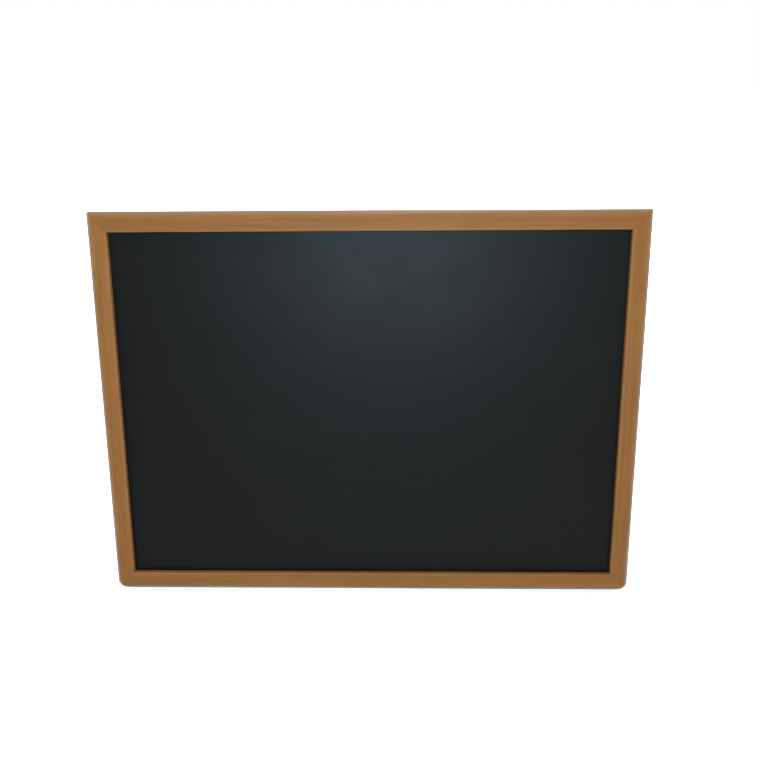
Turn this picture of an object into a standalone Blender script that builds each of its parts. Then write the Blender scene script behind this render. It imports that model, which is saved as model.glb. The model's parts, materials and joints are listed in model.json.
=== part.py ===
"""Tabletop menu chalkboard with a folding rear leg.

A landscape chalk panel sits in a mitred wooden frame that leans back on its lower rear edge.
A ladder-shaped wooden leg hangs from two butt hinges on the top rail and props the frame up.
A slotted brass stay on each side stops the leg at its open angle.

Metres, +Z up. The origin is under the middle of the object, on the surface it stands on.
+X runs along the width, and the chalk face looks towards -Y and up.

Three nested local frames hold the design, each an empty:
  board_frame  x along the width, y from the front face (-) to the back (+), z up the board
  leg_frame    on the hinge axis, with z up the leg
  stay frames  on each stay's pivot, with z back along the arm towards the pivot
With the leg folded flat, the leg frame and the board frame are parallel.
"""
from math import atan2, cos, hypot, pi, radians, sin

import bmesh
import bpy
from mathutils import Matrix

# ---------------------------------------------------------------- driving dimensions
GAP = 0.0003                 # clearance between touching pieces

BOARD_WIDTH = 0.442
BOARD_HEIGHT = 0.320
BOARD_LEAN = radians(15)     # the board's lean back from upright
FOLD_ANGLE = radians(30)     # between the board and the open leg

RAIL_WIDTH = 0.016
RAIL_DEPTH = 0.016
EDGE_RADIUS = 0.0055         # round-over of the front outer edge
REBATE = 0.005               # how far the panel reaches under the rail
LIP = 0.004                  # wood in front of the panel
CORNER_RADIUS = 0.009        # the two lower corners, in outline

PANEL_THICKNESS = 0.003
BACKING_THICKNESS = 0.0025
PANEL_SLACK = 0.0005         # around the panel, in the rebate

LEG_WIDTH = 0.396            # over the outer faces of the two stiles
STILE_WIDTH = 0.016
LEG_THICKNESS = 0.010
TOP_BAR_HEIGHT = 0.020
LOWER_BAR_HEIGHT = 0.018
LOWER_BAR_DROP = 0.250       # hinge axis to the middle of the lower crossbar
LEG_TOP_DROP = 0.004         # hinge axis to the top of the leg's wood

HINGE_DROP = 0.003           # top of the board to the hinge axis
HINGE_OFFSET = 0.130         # middle of the board to the middle of each hinge
HINGE_LENGTH = 0.025
BOARD_LEAF_WIDTH = 0.008     # hinge axis to the leaf's free edge
LEG_LEAF_WIDTH = 0.012
LEAF_THICKNESS = 0.001
KNUCKLE_RADIUS = 0.002
PIN_RADIUS = 0.001
BOARD_LEAF_SCREW_DROP = 0.005    # hinge axis to the screws, down the board
LEG_LEAF_SCREW_DROP = 0.008      # hinge axis to the screws, down the leg
HINGE_SCREW_SPREAD = 0.007       # from the hinge's middle to each screw

STAY_PIVOT_DROP = 0.060      # hinge axis to the stay's pivot, down the leg
STAY_PEG_DROP = 0.190        # hinge axis to the stay's peg, down the board
STAY_WIDTH = 0.009
STAY_THICKNESS = 0.0015
STAY_SLOT_WIDTH = 0.0052
STAY_SPACER = 0.004          # holds the arm off the side of the stile
STAY_NECK_RADIUS = 0.0015    # the peg's neck and the pivot screw's shank
STAY_END_MARGIN = 0.002      # from the end of the slot's travel to the centre of the arm's round end
STAY_HEAD_RADIUS = 0.0035    # the heads of the peg and the pivot screw, and the spacer
STAY_SET = radians(-0.33)    # turns the open arm a little, which centres its play over the fold

BRACKET_THICKNESS = 0.0012
BRACKET_HEIGHT = 0.030
BRACKET_SCREW_SPACING = 0.020
EAR_RADIUS = 0.005           # the bracket's ear, round the peg
EAR_SPREAD = 1.4             # half the ear's width at its foot, in ear radii

PEG_HEAD_HEIGHT = 0.0016
PEG_COLLAR_RADIUS = 0.003    # between the arm and the ear
PEG_TAIL_RADIUS = 0.0024     # riveted over on the far side of the ear
PEG_TAIL_LENGTH = 0.0009
PIVOT_HEAD_HEIGHT = 0.002
PIVOT_DEPTH = 0.009          # of the pivot screw in the stile

SCREW_SHANK_RADIUS = 0.001
SCREW_HEAD_RADIUS = 0.0019
SCREW_HEAD_HEIGHT = 0.0010
SCREW_TIP = 0.003            # length of a screw's point
SCREW_SINK = 0.0001          # the head sits just below the face it holds
BOARD_SCREW_LENGTH = 0.009
LEG_SCREW_LENGTH = 0.008
BAR_SCREW_LENGTH = 0.028

NAIL_LEG = 0.006             # each half of a corner nail's L
NAIL_HALF_THICKNESS = 0.0003
NAIL_DEPTH = 0.007
NAIL_INSET = 0.0055          # from the board's outer edges to the nail's corner

POINT_HALF_WIDTH = 0.0025    # the points that hold the backing
POINT_TIP = 0.005            # inside the rail's wall
POINT_TAIL = 0.008           # over the backing
POINT_SHOULDER = 0.003       # from the wall to where the tip starts to taper
POINT_THICKNESS = 0.0005
POINT_X = 0.075              # from the board's middle, on the top and bottom rails
POINT_Z = 0.085              # from the board's middle, on the side rails

ARC_STEP = radians(15)       # between points on a round outline
TURNED_STEPS = 20            # round a turned piece

# ---------------------------------------------------------------- derived places
HINGE_STANDOFF = KNUCKLE_RADIUS + GAP                    # wood face to the hinge axis
HINGE_Z = BOARD_HEIGHT - HINGE_DROP
LEG_FRONT = HINGE_STANDOFF                               # leg frame: the leg's face to the board
LEG_MIDDLE = LEG_FRONT + LEG_THICKNESS / 2
LEG_LEAN = FOLD_ANGLE - BOARD_LEAN                       # the leg's lean from upright
STILE_X = (LEG_WIDTH - STILE_WIDTH) / 2
STAY_X = LEG_WIDTH / 2 + STAY_SPACER + 2 * GAP + STAY_THICKNESS / 2
LAND_WIDTH = RAIL_WIDTH - REBATE                         # the rail's face behind the panel
BRACKET_WIDTH = LAND_WIDTH - 2 * GAP
BRACKET_X = BOARD_WIDTH / 2 - GAP - BRACKET_WIDTH / 2
EAR_X = BRACKET_X - BRACKET_WIDTH / 2 + BRACKET_THICKNESS / 2

HINGE_WORLD_Z = HINGE_Z * cos(BOARD_LEAN) - HINGE_STANDOFF * sin(BOARD_LEAN)
HINGE_BEHIND_EDGE = HINGE_Z * sin(BOARD_LEAN) + HINGE_STANDOFF * cos(BOARD_LEAN)


def foot_drop(y):
    """Distance down the leg from the hinge axis to the standing surface, at depth y of the leg."""
    return (HINGE_WORLD_Z + y * sin(LEG_LEAN)) / cos(LEG_LEAN)


LEG_BACK = LEG_FRONT + LEG_THICKNESS
HEEL_Y = HINGE_BEHIND_EDGE + LEG_BACK * cos(LEG_LEAN) + foot_drop(LEG_BACK) * sin(LEG_LEAN)
ARC_CENTRE_Y = (EDGE_RADIUS - RAIL_DEPTH) * cos(BOARD_LEAN) + EDGE_RADIUS * sin(BOARD_LEAN)
TOE_Y = ARC_CENTRE_Y - EDGE_RADIUS                       # foremost point of the lower front edge
REST_EDGE_Y = -(HEEL_Y + TOE_Y) / 2                      # world place of the lower rear edge

# ---------------------------------------------------------------- stay geometry
PEG_Y = LEG_MIDDLE                                       # from the hinge axis, in both frames


def stay_reach(fold):
    """Vector (y, z) from the stay's pivot to the board's peg, in the leg frame, at a fold angle."""
    peg_y = PEG_Y * cos(fold) - STAY_PEG_DROP * sin(fold)
    peg_z = -PEG_Y * sin(fold) - STAY_PEG_DROP * cos(fold)
    return peg_y - LEG_MIDDLE, peg_z + STAY_PIVOT_DROP


OPEN_REACH = hypot(*stay_reach(FOLD_ANGLE))
CLOSED_REACH = hypot(*stay_reach(0.0))
# Rotation about X that turns the arm from straight down the leg towards the peg
STAY_SWING = atan2(stay_reach(FOLD_ANGLE)[0], -stay_reach(FOLD_ANGLE)[1]) + STAY_SET


# ---------------------------------------------------------------- scene and materials
def clear_scene():
    for obj in list(bpy.data.objects):
        bpy.data.objects.remove(obj, do_unlink=True)


def new_collection(name):
    collection = bpy.data.collections.new(name)
    bpy.context.scene.collection.children.link(collection)
    return collection


def new_material(name, colour, roughness, metallic=0.0):
    material = bpy.data.materials.new(name)
    material.use_nodes = True
    shader = material.node_tree.nodes["Principled BSDF"]
    shader.inputs["Base Color"].default_value = (*colour, 1.0)
    shader.inputs["Roughness"].default_value = roughness
    shader.inputs["Metallic"].default_value = metallic
    return material


clear_scene()
PARTS = new_collection("menu_chalkboard_easel")
CUTTERS = new_collection("cutters")
WOOD = new_material("wood", (0.33, 0.155, 0.066), 0.5)
CHALK = new_material("chalk_coating", (0.020, 0.023, 0.024), 0.55)
HARDBOARD = new_material("hardboard", (0.23, 0.13, 0.065), 0.75)
BRASS = new_material("brass", (0.72, 0.50, 0.20), 0.35, 1.0)
STEEL = new_material("steel", (0.55, 0.55, 0.56), 0.4, 1.0)


# ---------------------------------------------------------------- outlines
def arc(centre, radius, start, end):
    """Points on an arc, both ends included; angles in radians."""
    steps = max(1, round(abs(end - start) / ARC_STEP))
    angles = [start + (end - start) * i / steps for i in range(steps + 1)]
    return [(centre[0] + radius * cos(a), centre[1] + radius * sin(a)) for a in angles]


def capsule(radius, top, bottom):
    """A bar with round ends, along the second axis, from the arc centre top down to bottom."""
    return arc((0, top), radius, 0, pi) + arc((0, bottom), radius, pi, 2 * pi)


# ---------------------------------------------------------------- shapes
# Each plane maps an outline's two axes and its thickness onto an object's own axes.
PLANES = {
    "XZ": Matrix(((1, 0, 0, 0), (0, 0, 1, 0), (0, 1, 0, 0), (0, 0, 0, 1))),
    "YZ": Matrix(((0, 0, 1, 0), (1, 0, 0, 0), (0, 1, 0, 0), (0, 0, 0, 1))),
}


def prism(name, outlines, thickness, plane, collection=PARTS):
    """A flat outline, with any further outlines as holes, extruded evenly about its plane."""
    curve = bpy.data.curves.new(name, "CURVE")
    curve.dimensions = "2D"
    curve.fill_mode = "BOTH"
    curve.extrude = thickness / 2
    for outline in outlines:
        spline = curve.splines.new("POLY")
        spline.points.add(len(outline) - 1)
        for point, (a, b) in zip(spline.points, outline):
            point.co = (a, b, 0, 1)
        spline.use_cyclic_u = True
    guide = bpy.data.objects.new(name + "_outline", curve)
    CUTTERS.objects.link(guide)
    evaluated = guide.evaluated_get(bpy.context.evaluated_depsgraph_get())
    mesh = bpy.data.meshes.new_from_object(evaluated)
    mesh.transform(PLANES[plane])
    shape = bmesh.new()
    shape.from_mesh(mesh)
    bmesh.ops.remove_doubles(shape, verts=shape.verts, dist=1e-6)
    bmesh.ops.recalc_face_normals(shape, faces=shape.faces)
    shape.to_mesh(mesh)
    shape.free()
    bpy.data.objects.remove(guide, do_unlink=True)
    mesh.name = name
    obj = bpy.data.objects.new(name, mesh)
    collection.objects.link(obj)
    return obj


def box(name, size, collection=PARTS):
    mesh = bpy.data.meshes.new(name)
    shape = bmesh.new()
    bmesh.ops.create_cube(shape, size=1.0, matrix=Matrix.Diagonal((*size, 1.0)))
    shape.to_mesh(mesh)
    shape.free()
    obj = bpy.data.objects.new(name, mesh)
    collection.objects.link(obj)
    return obj


def turned(name, profile, collection=PARTS):
    """A profile of (radius, z) points, from the top down its outer side, turned about Z."""
    mesh = bpy.data.meshes.new(name)
    shape = bmesh.new()
    verts = [shape.verts.new((radius, 0, z)) for radius, z in profile]
    for first, second in zip(verts, verts[1:]):
        shape.edges.new((first, second))
    shape.to_mesh(mesh)
    shape.free()
    obj = bpy.data.objects.new(name, mesh)
    screw = obj.modifiers.new("turn", "SCREW")
    screw.axis = "Z"
    screw.steps = TURNED_STEPS
    screw.render_steps = TURNED_STEPS
    screw.use_merge_vertices = True
    screw.merge_threshold = 1e-6
    screw.use_smooth_shade = True
    collection.objects.link(obj)
    return obj


def place(obj, parent, location, rotation=(0, 0, 0)):
    obj.parent = parent
    obj.location = location
    obj.rotation_euler = rotation
    return obj


def finish(obj, material):
    obj.data.materials.clear()
    obj.data.materials.append(material)
    return obj


def cut(target, cutter, operation="DIFFERENCE"):
    cutter.hide_render = True
    cutter.display_type = "WIRE"
    boolean = target.modifiers.new(cutter.name, "BOOLEAN")
    boolean.operation = operation
    boolean.object = cutter


def empty(name, parent, location, rotation):
    obj = bpy.data.objects.new(name, None)
    PARTS.objects.link(obj)
    return place(obj, parent, location, rotation)


board_frame = empty("board_frame", None, (0, REST_EDGE_Y, 0), (-BOARD_LEAN, 0, 0))
leg_frame = empty("leg_frame", board_frame, (0, HINGE_STANDOFF, HINGE_Z), (FOLD_ANGLE, 0, 0))
bpy.context.view_layer.update()

SIDES = {"left": -1, "right": 1}
UPWARD = {"bottom": 0, "top": 1}


# ---------------------------------------------------------------- screws
def screw_profile(length, grow=0.0):
    """Countersunk wood screw, head face at z = 0; grow adds clearance all round."""
    head = SCREW_HEAD_RADIUS + grow
    shank = SCREW_SHANK_RADIUS + grow
    points = [(0, grow), (head, grow), (shank, -SCREW_HEAD_HEIGHT - grow / 2)]
    return points + [(shank, SCREW_TIP - length), (0, -length - grow)]


def wood_screw(name, length, parent, location, rotation, targets):
    """A countersunk screw, and the holes that it needs in the pieces that it passes through."""
    screw = place(turned(name, screw_profile(length)), parent, location, rotation)
    hole = turned(name + "_hole", screw_profile(length, GAP), CUTTERS)
    place(hole, parent, location, rotation)
    for target in targets:
        cut(target, hole)
    return screw


# Screw axes: the head faces the named direction
FACING_BACK = (-pi / 2, 0, 0)
FACING_FRONT = (pi / 2, 0, 0)


def facing_side(sign):
    return (0, sign * pi / 2, 0)


# ---------------------------------------------------------------- frame
def rail(name, length, location, turn):
    """One mitred rail. In its own frame x runs along it and z from its outer to its inner edge."""
    front = -RAIL_DEPTH
    profile = arc((front + EDGE_RADIUS, EDGE_RADIUS), EDGE_RADIUS, 1.5 * pi, pi)
    profile += [(front, RAIL_WIDTH), (front + LIP, RAIL_WIDTH)]
    profile += [(front + LIP, LAND_WIDTH), (0, LAND_WIDTH), (0, 0)]
    obj = prism(name, [profile], length, "YZ")
    for vertex in obj.data.vertices:
        half = length / 2 - vertex.co.z - GAP / 2
        vertex.co.x = half if vertex.co.x > 0 else -half
    return finish(place(obj, board_frame, location, (0, turn, 0)), WOOD)


rails = {
    "bottom": rail("bottom_rail", BOARD_WIDTH, (0, 0, 0), 0),
    "top": rail("top_rail", BOARD_WIDTH, (0, 0, BOARD_HEIGHT), pi),
    "left": rail("left_rail", BOARD_HEIGHT, (-BOARD_WIDTH / 2, 0, BOARD_HEIGHT / 2), pi / 2),
    "right": rail("right_rail", BOARD_HEIGHT, (BOARD_WIDTH / 2, 0, BOARD_HEIGHT / 2), -pi / 2),
}


def round_lower_corner(side, sign):
    """Rounds a lower outer corner of the joined frame, across the mitre."""
    clear = 0.002
    radius = CORNER_RADIUS
    inner_arc = arc((-radius, radius), radius, 0, -pi / 2)
    outline = inner_arc + [(-radius, -clear), (clear, -clear), (clear, radius)]
    mirrored = [(sign * a, b) for a, b in outline]
    cutter = prism(f"{side}_corner_cutter", [mirrored], 3 * RAIL_DEPTH, "XZ", CUTTERS)
    place(cutter, board_frame, (sign * BOARD_WIDTH / 2, 0, 0))
    cut(rails["bottom"], cutter)
    cut(rails[side], cutter)


def corner_nail_outline(across, up, grow):
    """An L of thin sheet, its corner on the mitre and a leg inside each rail."""
    leg = NAIL_LEG + grow
    half = NAIL_HALF_THICKNESS + grow
    outline = [(-half, -half), (leg, -half), (leg, half), (half, half), (half, leg), (-half, leg)]
    return [(across * a, up * b) for a, b in outline]


def corner_nail(side, sign, level, upward):
    """A V-nail pressed into the back of one mitre."""
    name = f"corner_nail_{level}_{side}"
    across = -sign
    up = -1 if upward else 1
    x = sign * (BOARD_WIDTH / 2 - NAIL_INSET)
    z = BOARD_HEIGHT - NAIL_INSET if upward else NAIL_INSET
    location = (x, -NAIL_DEPTH / 2 - GAP, z)
    nail = prism(name, [corner_nail_outline(across, up, 0.0)], NAIL_DEPTH, "XZ")
    finish(place(nail, board_frame, location), STEEL)
    outline = corner_nail_outline(across, up, GAP)
    slot = prism(name + "_slot", [outline], NAIL_DEPTH + 4 * GAP, "XZ", CUTTERS)
    place(slot, board_frame, location)
    cut(rails[level], slot)
    cut(rails[side], slot)


for side, sign in SIDES.items():
    round_lower_corner(side, sign)
    for level, upward in UPWARD.items():
        corner_nail(side, sign, level, upward)


# ---------------------------------------------------------------- panel, backing and their points
PANEL_FRONT = LIP - RAIL_DEPTH + GAP
BACKING_FRONT = PANEL_FRONT + PANEL_THICKNESS + GAP
BACKING_BACK = BACKING_FRONT + BACKING_THICKNESS


def sheet(name, front, thickness, material):
    inset = 2 * (LAND_WIDTH + PANEL_SLACK)
    obj = box(name, (BOARD_WIDTH - inset, thickness, BOARD_HEIGHT - inset))
    finish(place(obj, board_frame, (0, front + thickness / 2, BOARD_HEIGHT / 2)), material)


sheet("chalk_panel", PANEL_FRONT, PANEL_THICKNESS, CHALK)
sheet("backing_board", BACKING_FRONT, BACKING_THICKNESS, HARDBOARD)


def retaining_point(name, rail_obj, x, z, turn):
    """A flat steel point: its tip is pressed into the rebate's wall and its tail holds the backing.

    It is given where it enters the wall; in its own frame the rail is towards -z.
    """
    half = POINT_HALF_WIDTH
    outline = [(0, -POINT_TIP), (half, -POINT_SHOULDER), (half, POINT_TAIL - half)]
    outline += arc((0, POINT_TAIL - half), half, 0, pi)[1:-1]
    outline += [(-half, POINT_TAIL - half), (-half, -POINT_SHOULDER)]
    y = BACKING_BACK + GAP + POINT_THICKNESS / 2
    obj = prism(name, [outline], POINT_THICKNESS, "XZ")
    finish(place(obj, board_frame, (x, y, z), (0, turn, 0)), STEEL)
    slot_size = [extent + 2 * GAP for extent in (2 * half, POINT_THICKNESS, POINT_TIP)]
    slot = box(name + "_slot", slot_size, CUTTERS)
    slot.data.transform(Matrix.Translation((0, 0, -POINT_TIP / 2)))
    place(slot, board_frame, (x, y, z), (0, turn, 0))
    cut(rail_obj, slot)


for side, sign in SIDES.items():
    wall_x = sign * (BOARD_WIDTH / 2 - LAND_WIDTH)
    retaining_point(f"retaining_point_bottom_{side}", rails["bottom"], sign * POINT_X, LAND_WIDTH, 0)
    top_z = BOARD_HEIGHT - LAND_WIDTH
    retaining_point(f"retaining_point_top_{side}", rails["top"], sign * POINT_X, top_z, pi)
    for level, upward in UPWARD.items():
        z = BOARD_HEIGHT / 2 + (POINT_Z if upward else -POINT_Z)
        name = f"retaining_point_{side}_{level}"
        retaining_point(name, rails[side], wall_x, z, -sign * pi / 2)


# ---------------------------------------------------------------- rear leg
def stile(side, sign):
    """A leg stile, its foot cut level with the standing surface."""
    outline = [(LEG_FRONT, -LEG_TOP_DROP), (LEG_FRONT, -foot_drop(LEG_FRONT))]
    outline += [(LEG_BACK, -foot_drop(LEG_BACK)), (LEG_BACK, -LEG_TOP_DROP)]
    obj = prism(f"leg_stile_{side}", [outline], STILE_WIDTH, "YZ")
    return finish(place(obj, leg_frame, (sign * STILE_X, 0, 0)), WOOD)


def crossbar(name, height, drop):
    length = LEG_WIDTH - 2 * STILE_WIDTH - 2 * GAP
    obj = box(name, (length, LEG_THICKNESS, height))
    return finish(place(obj, leg_frame, (0, LEG_MIDDLE, -drop)), WOOD)


TOP_BAR_DROP = LEG_TOP_DROP + TOP_BAR_HEIGHT / 2
stiles = {side: stile(side, sign) for side, sign in SIDES.items()}
crossbars = {
    "top": crossbar("leg_top_crossbar", TOP_BAR_HEIGHT, TOP_BAR_DROP),
    "lower": crossbar("leg_lower_crossbar", LOWER_BAR_HEIGHT, LOWER_BAR_DROP),
}
BAR_DROPS = {"top": TOP_BAR_DROP, "lower": LOWER_BAR_DROP}

for side, sign in SIDES.items():
    for level, drop in BAR_DROPS.items():
        name = f"crossbar_screw_{level}_{side}"
        location = (sign * (LEG_WIDTH / 2 - GAP), LEG_MIDDLE, -drop)
        targets = [stiles[side], crossbars[level]]
        turn = facing_side(sign)
        finish(wood_screw(name, BAR_SCREW_LENGTH, leg_frame, location, turn, targets), STEEL)


# ---------------------------------------------------------------- butt hinges
def leaf_profile(direction, width):
    """Section of a hinge leaf: a plate rolled into a knuckle round the hinge axis.

    The plate runs down from the axis on the side that direction gives: -1 board, +1 leg.
    """
    outer = KNUCKLE_RADIUS
    inner = PIN_RADIUS + GAP
    plate_inner = -outer + LEAF_THICKNESS
    meet = pi + atan2((inner ** 2 - plate_inner ** 2) ** 0.5, -plate_inner)
    curl_end = radians(-95)
    outline = [(-outer, -width)]
    outline += arc((0, 0), outer, pi, curl_end)
    outline += arc((0, 0), inner, curl_end, meet)
    outline += [(plate_inner, -width)]
    return [(-direction * a, b) for a, b in outline]


def hinge_leaf(name, parent, origin, profile, notches):
    """A leaf with the other leaf's knuckles notched out of it; notches are (middle, length) in x."""
    obj = prism(name, [profile], HINGE_LENGTH, "YZ")
    finish(place(obj, parent, origin), BRASS)
    reach = 2 * (KNUCKLE_RADIUS + GAP)
    for index, (middle, length) in enumerate(notches):
        notch = box(f"{name}_notch_{index}", (length, 2 * reach, 2 * reach), CUTTERS)
        notch.data.transform(Matrix.Translation((0, 0, reach / 2)))
        place(notch, parent, (origin[0] + middle, origin[1], origin[2] - GAP))
        cut(obj, notch)
    return obj


KNUCKLE_LENGTH = HINGE_LENGTH / 3


def hinge(side, sign):
    x = sign * HINGE_OFFSET
    origin = (x, HINGE_STANDOFF, HINGE_Z)
    middle_notch = [(0, KNUCKLE_LENGTH + GAP)]
    end_length = KNUCKLE_LENGTH + GAP
    end_middle = HINGE_LENGTH / 2 - KNUCKLE_LENGTH / 2 + GAP / 2
    end_notches = [(-end_middle, end_length), (end_middle, end_length)]
    board_profile = leaf_profile(-1, BOARD_LEAF_WIDTH)
    leg_profile = leaf_profile(1, LEG_LEAF_WIDTH)
    name = f"hinge_{side}_board_leaf"
    board_leaf = hinge_leaf(name, board_frame, origin, board_profile, middle_notch)
    leg_leaf = hinge_leaf(f"hinge_{side}_leg_leaf", leg_frame, (x, 0, 0), leg_profile, end_notches)
    pin_half = HINGE_LENGTH / 2 - GAP
    profile = [(0, pin_half), (PIN_RADIUS, pin_half), (PIN_RADIUS, -pin_half), (0, -pin_half)]
    pin = turned(f"hinge_{side}_pin", profile)
    finish(place(pin, board_frame, origin, (0, pi / 2, 0)), BRASS)

    face = KNUCKLE_RADIUS - LEAF_THICKNESS + SCREW_SINK
    board_targets = [board_leaf, rails["top"]]
    leg_targets = [leg_leaf, crossbars["top"]]
    for hand, hand_sign in SIDES.items():
        screw_x = x + hand_sign * HINGE_SCREW_SPREAD
        name = f"hinge_{side}_board_screw_{hand}"
        location = (screw_x, HINGE_STANDOFF - face, HINGE_Z - BOARD_LEAF_SCREW_DROP)
        screw = wood_screw(name, BOARD_SCREW_LENGTH, board_frame, location, FACING_BACK, board_targets)
        finish(screw, BRASS)
        name = f"hinge_{side}_leg_screw_{hand}"
        location = (screw_x, face, -LEG_LEAF_SCREW_DROP)
        screw = wood_screw(name, LEG_SCREW_LENGTH, leg_frame, location, FACING_FRONT, leg_targets)
        finish(screw, BRASS)


# ---------------------------------------------------------------- slotted stays
def stay_arm(side, sign):
    """A flat arm, pivoted on the leg at its own origin, whose slot runs over the board's peg."""
    hole = arc((0, 0), STAY_NECK_RADIUS + GAP, 0, 2 * pi - ARC_STEP)
    slot = capsule(STAY_SLOT_WIDTH / 2, -CLOSED_REACH + GAP, -OPEN_REACH + GAP)
    outline = capsule(STAY_WIDTH / 2, 0, -OPEN_REACH - STAY_END_MARGIN)
    arm_frame = empty(f"stay_{side}_frame", leg_frame,
                      (sign * STAY_X, LEG_MIDDLE, -STAY_PIVOT_DROP), (STAY_SWING, 0, 0))
    obj = prism(f"stay_{side}_arm", [outline, hole, slot], STAY_THICKNESS, "YZ")
    finish(place(obj, arm_frame, (0, 0, 0)), BRASS)


def stay_pivot(side, sign):
    """The round-headed screw and the spacer that carry the arm on the side of the stile."""
    face = STAY_THICKNESS / 2 + GAP
    sink = STAY_X - LEG_WIDTH / 2 + PIVOT_DEPTH
    dome = arc((0, 0), 1.0, pi / 2, 0)
    head = [(STAY_HEAD_RADIUS * a, face + PIVOT_HEAD_HEIGHT * b) for a, b in dome]
    neck = STAY_NECK_RADIUS
    profile = head + [(neck, face), (neck, SCREW_TIP - sink), (0, -sink)]
    grown = neck + GAP
    hole_profile = [(0, face), (grown, face), (grown, SCREW_TIP - sink), (0, -sink - GAP)]
    location = (sign * STAY_X, LEG_MIDDLE, -STAY_PIVOT_DROP)
    turn = facing_side(sign)
    pivot = turned(f"stay_{side}_pivot_screw", profile)
    finish(place(pivot, leg_frame, location, turn), BRASS)
    hole = turned(f"stay_{side}_pivot_hole", hole_profile, CUTTERS)
    place(hole, leg_frame, location, turn)
    cut(stiles[side], hole)

    outer = arc((0, 0), STAY_HEAD_RADIUS, 0, 2 * pi - ARC_STEP)
    inner = arc((0, 0), STAY_NECK_RADIUS + GAP, 0, 2 * pi - ARC_STEP)
    spacer = prism(f"stay_{side}_spacer", [outer, inner], STAY_SPACER, "YZ")
    spacer_x = sign * (LEG_WIDTH / 2 + GAP + STAY_SPACER / 2)
    finish(place(spacer, leg_frame, (spacer_x, LEG_MIDDLE, -STAY_PIVOT_DROP)), BRASS)


def stay_bracket(side, sign):
    """An angle bracket on the back of the side rail, with an ear that carries the peg."""
    peg_y = HINGE_STANDOFF + PEG_Y
    peg_z = HINGE_Z - STAY_PEG_DROP
    bracket = box(f"stay_{side}_bracket", (BRACKET_WIDTH, BRACKET_THICKNESS, BRACKET_HEIGHT))
    base_y = GAP + BRACKET_THICKNESS / 2
    finish(place(bracket, board_frame, (sign * BRACKET_X, base_y, peg_z)), BRASS)
    foot = GAP + BRACKET_THICKNESS / 4 - peg_y
    half_foot = EAR_SPREAD * EAR_RADIUS
    outline = [(foot, -half_foot), *arc((0, 0), EAR_RADIUS, -pi / 2, pi / 2), (foot, half_foot)]
    ear = prism(f"stay_{side}_ear", [outline], BRACKET_THICKNESS, "YZ", CUTTERS)
    place(ear, board_frame, (sign * EAR_X, peg_y, peg_z))
    cut(bracket, ear, "UNION")

    arm_face = STAY_THICKNESS / 2 + GAP
    collar_end = EAR_X - STAY_X - BRACKET_THICKNESS / 2 - GAP
    tail_start = EAR_X - STAY_X + BRACKET_THICKNESS / 2 + GAP
    tail_end = tail_start + PEG_TAIL_LENGTH
    head_end = -arm_face - PEG_HEAD_HEIGHT
    neck = STAY_NECK_RADIUS
    profile = [(0, tail_end), (PEG_TAIL_RADIUS, tail_end), (PEG_TAIL_RADIUS, tail_start)]
    profile += [(neck, tail_start), (neck, collar_end), (PEG_COLLAR_RADIUS, collar_end)]
    profile += [(PEG_COLLAR_RADIUS, arm_face), (neck, arm_face), (neck, -arm_face)]
    profile += [(STAY_HEAD_RADIUS, -arm_face), (STAY_HEAD_RADIUS, head_end), (0, head_end)]
    location = (sign * STAY_X, peg_y, peg_z)
    peg = turned(f"stay_{side}_peg", profile)
    finish(place(peg, board_frame, location, facing_side(sign)), BRASS)
    hole = arc((0, 0), neck + GAP, 0, 2 * pi - ARC_STEP)
    peg_hole = prism(f"stay_{side}_peg_hole", [hole], 4 * BRACKET_THICKNESS, "YZ", CUTTERS)
    place(peg_hole, board_frame, (sign * EAR_X, peg_y, peg_z))
    cut(bracket, peg_hole)

    for level, upward in UPWARD.items():
        drop = BRACKET_SCREW_SPACING / 2
        screw_z = peg_z + (drop if upward else -drop)
        location = (sign * BRACKET_X, GAP + BRACKET_THICKNESS - SCREW_SINK, screw_z)
        name = f"stay_{side}_bracket_screw_{level}"
        targets = [bracket, rails[side]]
        screw = wood_screw(name, BOARD_SCREW_LENGTH, board_frame, location, FACING_BACK, targets)
        finish(screw, BRASS)


for side, sign in SIDES.items():
    hinge(side, sign)
    stay_arm(side, sign)
    stay_pivot(side, sign)
    stay_bracket(side, sign)
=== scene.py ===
"""The looks of a folding tabletop menu chalkboard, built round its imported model.

Every visible piece is modelled here at the place that the frame gives it: mitred rails with a
rounded front edge, a blackboard sheet, a hardboard back, a ladder leg and its brass and steel
hardware. Metres, +Z up. The chalk face looks towards -Y.
"""
import json
from math import atan2, cos, hypot, pi, radians, sin

import bmesh
import bpy
from mathutils import Euler, Matrix, Vector, noise


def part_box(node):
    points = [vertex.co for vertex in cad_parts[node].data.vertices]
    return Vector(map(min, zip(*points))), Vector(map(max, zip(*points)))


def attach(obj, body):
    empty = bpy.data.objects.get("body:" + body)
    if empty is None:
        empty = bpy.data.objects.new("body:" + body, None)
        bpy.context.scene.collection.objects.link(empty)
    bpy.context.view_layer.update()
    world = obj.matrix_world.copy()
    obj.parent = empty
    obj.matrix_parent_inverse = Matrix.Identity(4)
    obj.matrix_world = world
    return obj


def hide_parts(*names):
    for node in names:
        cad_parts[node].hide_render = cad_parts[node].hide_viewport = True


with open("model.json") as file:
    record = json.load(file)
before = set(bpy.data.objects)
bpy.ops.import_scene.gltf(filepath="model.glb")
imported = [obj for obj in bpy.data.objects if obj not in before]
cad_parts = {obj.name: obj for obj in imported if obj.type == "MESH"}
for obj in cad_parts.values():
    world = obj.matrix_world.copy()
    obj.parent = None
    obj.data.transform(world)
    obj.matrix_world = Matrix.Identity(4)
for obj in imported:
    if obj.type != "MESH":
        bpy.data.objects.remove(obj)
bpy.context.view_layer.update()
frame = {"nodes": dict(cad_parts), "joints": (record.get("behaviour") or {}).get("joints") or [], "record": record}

# ---------------------------------------------------------------- dimensions of the frame
BOARD_WIDTH = 0.442
BOARD_HEIGHT = 0.320
BOARD_LEAN = radians(15)
FOLD_ANGLE = radians(30)
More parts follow.
